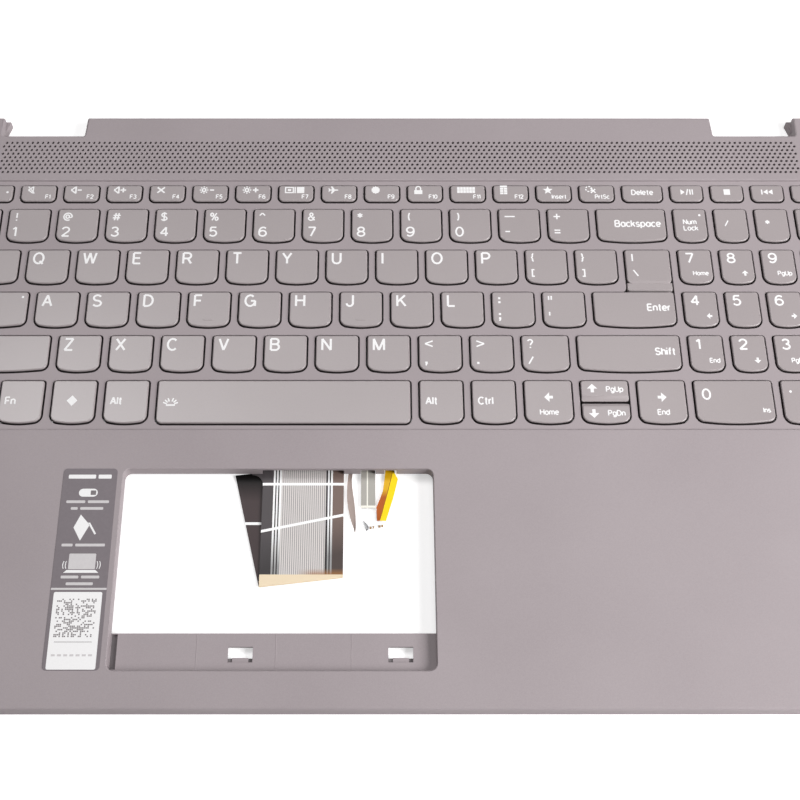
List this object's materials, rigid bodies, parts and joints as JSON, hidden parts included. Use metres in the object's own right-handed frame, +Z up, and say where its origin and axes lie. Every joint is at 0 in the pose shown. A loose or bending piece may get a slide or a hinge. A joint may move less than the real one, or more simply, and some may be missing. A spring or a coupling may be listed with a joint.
{
  "type": "laptop palm rest with keyboard",
  "caption": "Grey laptop top cover with a full keyboard fitted in it, a number pad, a speaker grille strip, hinge notches and an open touchpad window with ribbon tails.",
  "frame": {"origin": "middle of the footprint, on the plane that the rim stands on", "axes": "+X along the rows of keys to the right, +Y towards the hinges, +Z up out of the keys"},
  "size_m": [0.359, 0.24, 0.0066],
  "materials": {
    "cover_plastic": "satin moulded ABS blend, warm grey",
    "key_plastic": "satin moulded ABS, warm grey with white print",
    "plate_aluminium": "bare pressed sheet",
    "membrane_film": "black polyester film with silver ink tracks",
    "dome_rubber": "milky silicone",
    "light_guide": "clear light guide on grey film",
    "flex_film": "amber polyimide film",
    "label_film": "dark grey printed film",
    "speaker_cloth": "black woven mesh"
  },
  "bodies": {
    "palmrest": {"palmrest_cover": "cover_plastic", "speaker_mesh": "speaker_cloth", "base_plate": "plate_aluminium", "membrane_circuit": "membrane_film", "dome_sheet": "key_plastic", "key_domes": "dome_rubber", "backlight_sheet": "light_guide", "backlight_flex": "flex_film", "feature_label": "label_film"},
    "key_grave": {"key_grave": "key_plastic"},
    "key_1": {"key_1": "key_plastic"},
    "key_2": {"key_2": "key_plastic"},
    "key_3": {"key_3": "key_plastic"},
    "key_4": {"key_4": "key_plastic"},
    "key_5": {"key_5": "key_plastic"},
    "key_6": {"key_6": "key_plastic"},
    "key_7": {"key_7": "key_plastic"},
    "key_8": {"key_8": "key_plastic"},
    "key_9": {"key_9": "key_plastic"},
    "key_0": {"key_0": "key_plastic"},
    "key_minus": {"key_minus": "key_plastic"},
    "key_equals": {"key_equals": "key_plastic"},
    "key_q": {"key_q": "key_plastic"},
    "key_w": {"key_w": "key_plastic"},
    "key_e": {"key_e": "key_plastic"},
    "key_r": {"key_r": "key_plastic"},
    "key_t": {"key_t": "key_plastic"},
    "key_y": {"key_y": "key_plastic"},
    "key_u": {"key_u": "key_plastic"},
    "key_i": {"key_i": "key_plastic"},
    "key_o": {"key_o": "key_plastic"},
    "key_p": {"key_p": "key_plastic"},
    "key_left_bracket": {"key_left_bracket": "key_plastic"},
    "key_right_bracket": {"key_right_bracket": "key_plastic"},
    "key_backslash": {"key_backslash": "key_plastic"},
    "key_a": {"key_a": "key_plastic"},
    "key_s": {"key_s": "key_plastic"},
    "key_d": {"key_d": "key_plastic"},
    "key_f": {"key_f": "key_plastic"},
    "key_g": {"key_g": "key_plastic"},
    "key_h": {"key_h": "key_plastic"},
    "key_j": {"key_j": "key_plastic"},
    "key_k": {"key_k": "key_plastic"},
    "key_l": {"key_l": "key_plastic"},
    "key_semicolon": {"key_semicolon": "key_plastic"},
    "key_quote": {"key_quote": "key_plastic"},
    "key_z": {"key_z": "key_plastic"},
    "key_x": {"key_x": "key_plastic"},
    "key_c": {"key_c": "key_plastic"},
    "key_v": {"key_v": "key_plastic"},
    "key_b": {"key_b": "key_plastic"},
    "key_n": {"key_n": "key_plastic"},
    "key_m": {"key_m": "key_plastic"},
    "key_comma": {"key_comma": "key_plastic"},
    "key_period": {"key_period": "key_plastic"},
    "key_slash": {"key_slash": "key_plastic"},
    "key_space": {"key_space": "key_plastic"},
    "key_enter": {"key_enter": "key_plastic"},
    "key_backspace": {"key_backspace": "key_plastic"},
    "key_tab": {"key_tab": "key_plastic"}
  },
  "joints": [
    {"name": "press_grave", "type": "slide", "parent": "palmrest", "child": "key_grave", "axis": [0, 0, -1], "range_m": [0, 0.0014], "stiffness_N_per_m": 200, "springref_m": -0.0008, "deforming": ["key_domes"]},
    {"name": "press_1", "type": "slide", "parent": "palmrest", "child": "key_1", "axis": [0, 0, -1], "range_m": [0, 0.0014], "stiffness_N_per_m": 200, "springref_m": -0.0008, "deforming": ["key_domes"]},
    {"name": "press_2", "type": "slide", "parent": "palmrest", "child": "key_2", "axis": [0, 0, -1], "range_m": [0, 0.0014], "stiffness_N_per_m": 200, "springref_m": -0.0008, "deforming": ["key_domes"]},
    {"name": "press_3", "type": "slide", "parent": "palmrest", "child": "key_3", "axis": [0, 0, -1], "range_m": [0, 0.0014], "stiffness_N_per_m": 200, "springref_m": -0.0008, "deforming": ["key_domes"]},
    {"name": "press_4", "type": "slide", "parent": "palmrest", "child": "key_4", "axis": [0, 0, -1], "range_m": [0, 0.0014], "stiffness_N_per_m": 200, "springref_m": -0.0008, "deforming": ["key_domes"]},
    {"name": "press_5", "type": "slide", "parent": "palmrest", "child": "key_5", "axis": [0, 0, -1], "range_m": [0, 0.0014], "stiffness_N_per_m": 200, "springref_m": -0.0008, "deforming": ["key_domes"]},
    {"name": "press_6", "type": "slide", "parent": "palmrest", "child": "key_6", "axis": [0, 0, -1], "range_m": [0, 0.0014], "stiffness_N_per_m": 200, "springref_m": -0.0008, "deforming": ["key_domes"]},
    {"name": "press_7", "type": "slide", "parent": "palmrest", "child": "key_7", "axis": [0, 0, -1], "range_m": [0, 0.0014], "stiffness_N_per_m": 200, "springref_m": -0.0008, "deforming": ["key_domes"]},
    {"name": "press_8", "type": "slide", "parent": "palmrest", "child": "key_8", "axis": [0, 0, -1], "range_m": [0, 0.0014], "stiffness_N_per_m": 200, "springref_m": -0.0008, "deforming": ["key_domes"]},
    {"name": "press_9", "type": "slide", "parent": "palmrest", "child": "key_9", "axis": [0, 0, -1], "range_m": [0, 0.0014], "stiffness_N_per_m": 200, "springref_m": -0.0008, "deforming": ["key_domes"]},
    {"name": "press_0", "type": "slide", "parent": "palmrest", "child": "key_0", "axis": [0, 0, -1], "range_m": [0, 0.0014], "stiffness_N_per_m": 200, "springref_m": -0.0008, "deforming": ["key_domes"]},
    {"name": "press_minus", "type": "slide", "parent": "palmrest", "child": "key_minus", "axis": [0, 0, -1], "range_m": [0, 0.0014], "stiffness_N_per_m": 200, "springref_m": -0.0008, "deforming": ["key_domes"]},
    {"name": "press_equals", "type": "slide", "parent": "palmrest", "child": "key_equals", "axis": [0, 0, -1], "range_m": [0, 0.0014], "stiffness_N_per_m": 200, "springref_m": -0.0008, "deforming": ["key_domes"]},
    {"name": "press_q", "type": "slide", "parent": "palmrest", "child": "key_q", "axis": [0, 0, -1], "range_m": [0, 0.0014], "stiffness_N_per_m": 200, "springref_m": -0.0008, "deforming": ["key_domes"]},
    {"name": "press_w", "type": "slide", "parent": "palmrest", "child": "key_w", "axis": [0, 0, -1], "range_m": [0, 0.0014], "stiffness_N_per_m": 200, "springref_m": -0.0008, "deforming": ["key_domes"]},
    {"name": "press_e", "type": "slide", "parent": "palmrest", "child": "key_e", "axis": [0, 0, -1], "range_m": [0, 0.0014], "stiffness_N_per_m": 200, "springref_m": -0.0008, "deforming": ["key_domes"]},
    {"name": "press_r", "type": "slide", "parent": "palmrest", "child": "key_r", "axis": [0, 0, -1], "range_m": [0, 0.0014], "stiffness_N_per_m": 200, "springref_m": -0.0008, "deforming": ["key_domes"]},
    {"name": "press_t", "type": "slide", "parent": "palmrest", "child": "key_t", "axis": [0, 0, -1], "range_m": [0, 0.0014], "stiffness_N_per_m": 200, "springref_m": -0.0008, "deforming": ["key_domes"]},
    {"name": "press_y", "type": "slide", "parent": "palmrest", "child": "key_y", "axis": [0, 0, -1], "range_m": [0, 0.0014], "stiffness_N_per_m": 200, "springref_m": -0.0008, "deforming": ["key_domes"]},
    {"name": "press_u", "type": "slide", "parent": "palmrest", "child": "key_u", "axis": [0, 0, -1], "range_m": [0, 0.0014], "stiffness_N_per_m": 200, "springref_m": -0.0008, "deforming": ["key_domes"]},
    {"name": "press_i", "type": "slide", "parent": "palmrest", "child": "key_i", "axis": [0, 0, -1], "range_m": [0, 0.0014], "stiffness_N_per_m": 200, "springref_m": -0.0008, "deforming": ["key_domes"]},
    {"name": "press_o", "type": "slide", "parent": "palmrest", "child": "key_o", "axis": [0, 0, -1], "range_m": [0, 0.0014], "stiffness_N_per_m": 200, "springref_m": -0.0008, "deforming": ["key_domes"]},
    {"name": "press_p", "type": "slide", "parent": "palmrest", "child": "key_p", "axis": [0, 0, -1], "range_m": [0, 0.0014], "stiffness_N_per_m": 200, "springref_m": -0.0008, "deforming": ["key_domes"]},
    {"name": "press_left_bracket", "type": "slide", "parent": "palmrest", "child": "key_left_bracket", "axis": [0, 0, -1], "range_m": [0, 0.0014], "stiffness_N_per_m": 200, "springref_m": -0.0008, "deforming": ["key_domes"]},
    {"name": "press_right_bracket", "type": "slide", "parent": "palmrest", "child": "key_right_bracket", "axis": [0, 0, -1], "range_m": [0, 0.0014], "stiffness_N_per_m": 200, "springref_m": -0.0008, "deforming": ["key_domes"]},
    {"name": "press_backslash", "type": "slide", "parent": "palmrest", "child": "key_backslash", "axis": [0, 0, -1], "range_m": [0, 0.0014], "stiffness_N_per_m": 200, "springref_m": -0.0008, "deforming": ["key_domes"]},
    {"name": "press_a", "type": "slide", "parent": "palmrest", "child": "key_a", "axis": [0, 0, -1], "range_m": [0, 0.0014], "stiffness_N_per_m": 200, "springref_m": -0.0008, "deforming": ["key_domes"]},
    {"name": "press_s", "type": "slide", "parent": "palmrest", "child": "key_s", "axis": [0, 0, -1], "range_m": [0, 0.0014], "stiffness_N_per_m": 200, "springref_m": -0.0008, "deforming": ["key_domes"]},
    {"name": "press_d", "type": "slide", "parent": "palmrest", "child": "key_d", "axis": [0, 0, -1], "range_m": [0, 0.0014], "stiffness_N_per_m": 200, "springref_m": -0.0008, "deforming": ["key_domes"]},
    {"name": "press_f", "type": "slide", "parent": "palmrest", "child": "key_f", "axis": [0, 0, -1], "range_m": [0, 0.0014], "stiffness_N_per_m": 200, "springref_m": -0.0008, "deforming": ["key_domes"]},
    {"name": "press_g", "type": "slide", "parent": "palmrest", "child": "key_g", "axis": [0, 0, -1], "range_m": [0, 0.0014], "stiffness_N_per_m": 200, "springref_m": -0.0008, "deforming": ["key_domes"]},
    {"name": "press_h", "type": "slide", "parent": "palmrest", "child": "key_h", "axis": [0, 0, -1], "range_m": [0, 0.0014], "stiffness_N_per_m": 200, "springref_m": -0.0008, "deforming": ["key_domes"]},
    {"name": "press_j", "type": "slide", "parent": "palmrest", "child": "key_j", "axis": [0, 0, -1], "range_m": [0, 0.0014], "stiffness_N_per_m": 200, "springref_m": -0.0008, "deforming": ["key_domes"]},
    {"name": "press_k", "type": "slide", "parent": "palmrest", "child": "key_k", "axis": [0, 0, -1], "range_m": [0, 0.0014], "stiffness_N_per_m": 200, "springref_m": -0.0008, "deforming": ["key_domes"]},
    {"name": "press_l", "type": "slide", "parent": "palmrest", "child": "key_l", "axis": [0, 0, -1], "range_m": [0, 0.0014], "stiffness_N_per_m": 200, "springref_m": -0.0008, "deforming": ["key_domes"]},
    {"name": "press_semicolon", "type": "slide", "parent": "palmrest", "child": "key_semicolon", "axis": [0, 0, -1], "range_m": [0, 0.0014], "stiffness_N_per_m": 200, "springref_m": -0.0008, "deforming": ["key_domes"]},
    {"name": "press_quote", "type": "slide", "parent": "palmrest", "child": "key_quote", "axis": [0, 0, -1], "range_m": [0, 0.0014], "stiffness_N_per_m": 200, "springref_m": -0.0008, "deforming": ["key_domes"]},
    {"name": "press_z", "type": "slide", "parent": "palmrest", "child": "key_z", "axis": [0, 0, -1], "range_m": [0, 0.0014], "stiffness_N_per_m": 200, "springref_m": -0.0008, "deforming": ["key_domes"]},
    {"name": "press_x", "type": "slide", "parent": "palmrest", "child": "key_x", "axis": [0, 0, -1], "range_m": [0, 0.0014], "stiffness_N_per_m": 200, "springref_m": -0.0008, "deforming": ["key_domes"]},
    {"name": "press_c", "type": "slide", "parent": "palmrest", "child": "key_c", "axis": [0, 0, -1], "range_m": [0, 0.0014], "stiffness_N_per_m": 200, "springref_m": -0.0008, "deforming": ["key_domes"]},
    {"name": "press_v", "type": "slide", "parent": "palmrest", "child": "key_v", "axis": [0, 0, -1], "range_m": [0, 0.0014], "stiffness_N_per_m": 200, "springref_m": -0.0008, "deforming": ["key_domes"]},
    {"name": "press_b", "type": "slide", "parent": "palmrest", "child": "key_b", "axis": [0, 0, -1], "range_m": [0, 0.0014], "stiffness_N_per_m": 200, "springref_m": -0.0008, "deforming": ["key_domes"]},
    {"name": "press_n", "type": "slide", "parent": "palmrest", "child": "key_n", "axis": [0, 0, -1], "range_m": [0, 0.0014], "stiffness_N_per_m": 200, "springref_m": -0.0008, "deforming": ["key_domes"]},
    {"name": "press_m", "type": "slide", "parent": "palmrest", "child": "key_m", "axis": [0, 0, -1], "range_m": [0, 0.0014], "stiffness_N_per_m": 200, "springref_m": -0.0008, "deforming": ["key_domes"]},
    {"name": "press_comma", "type": "slide", "parent": "palmrest", "child": "key_comma", "axis": [0, 0, -1], "range_m": [0, 0.0014], "stiffness_N_per_m": 200, "springref_m": -0.0008, "deforming": ["key_domes"]},
    {"name": "press_period", "type": "slide", "parent": "palmrest", "child": "key_period", "axis": [0, 0, -1], "range_m": [0, 0.0014], "stiffness_N_per_m": 200, "springref_m": -0.0008, "deforming": ["key_domes"]},
    {"name": "press_slash", "type": "slide", "parent": "palmrest", "child": "key_slash", "axis": [0, 0, -1], "range_m": [0, 0.0014], "stiffness_N_per_m": 200, "springref_m": -0.0008, "deforming": ["key_domes"]},
    {"name": "press_space", "type": "slide", "parent": "palmrest", "child": "key_space", "axis": [0, 0, -1], "range_m": [0, 0.0014], "stiffness_N_per_m": 200, "springref_m": -0.0008, "deforming": ["key_domes"]},
    {"name": "press_enter", "type": "slide", "parent": "palmrest", "child": "key_enter", "axis": [0, 0, -1], "range_m": [0, 0.0014], "stiffness_N_per_m": 200, "springref_m": -0.0008, "deforming": ["key_domes"]},
    {"name": "press_backspace", "type": "slide", "parent": "palmrest", "child": "key_backspace", "axis": [0, 0, -1], "range_m": [0, 0.0014], "stiffness_N_per_m": 200, "springref_m": -0.0008, "deforming": ["key_domes"]},
    {"name": "press_tab", "type": "slide", "parent": "palmrest", "child": "key_tab", "axis": [0, 0, -1], "range_m": [0, 0.0014], "stiffness_N_per_m": 200, "springref_m": -0.0008, "deforming": ["key_domes"]}
  ]
}
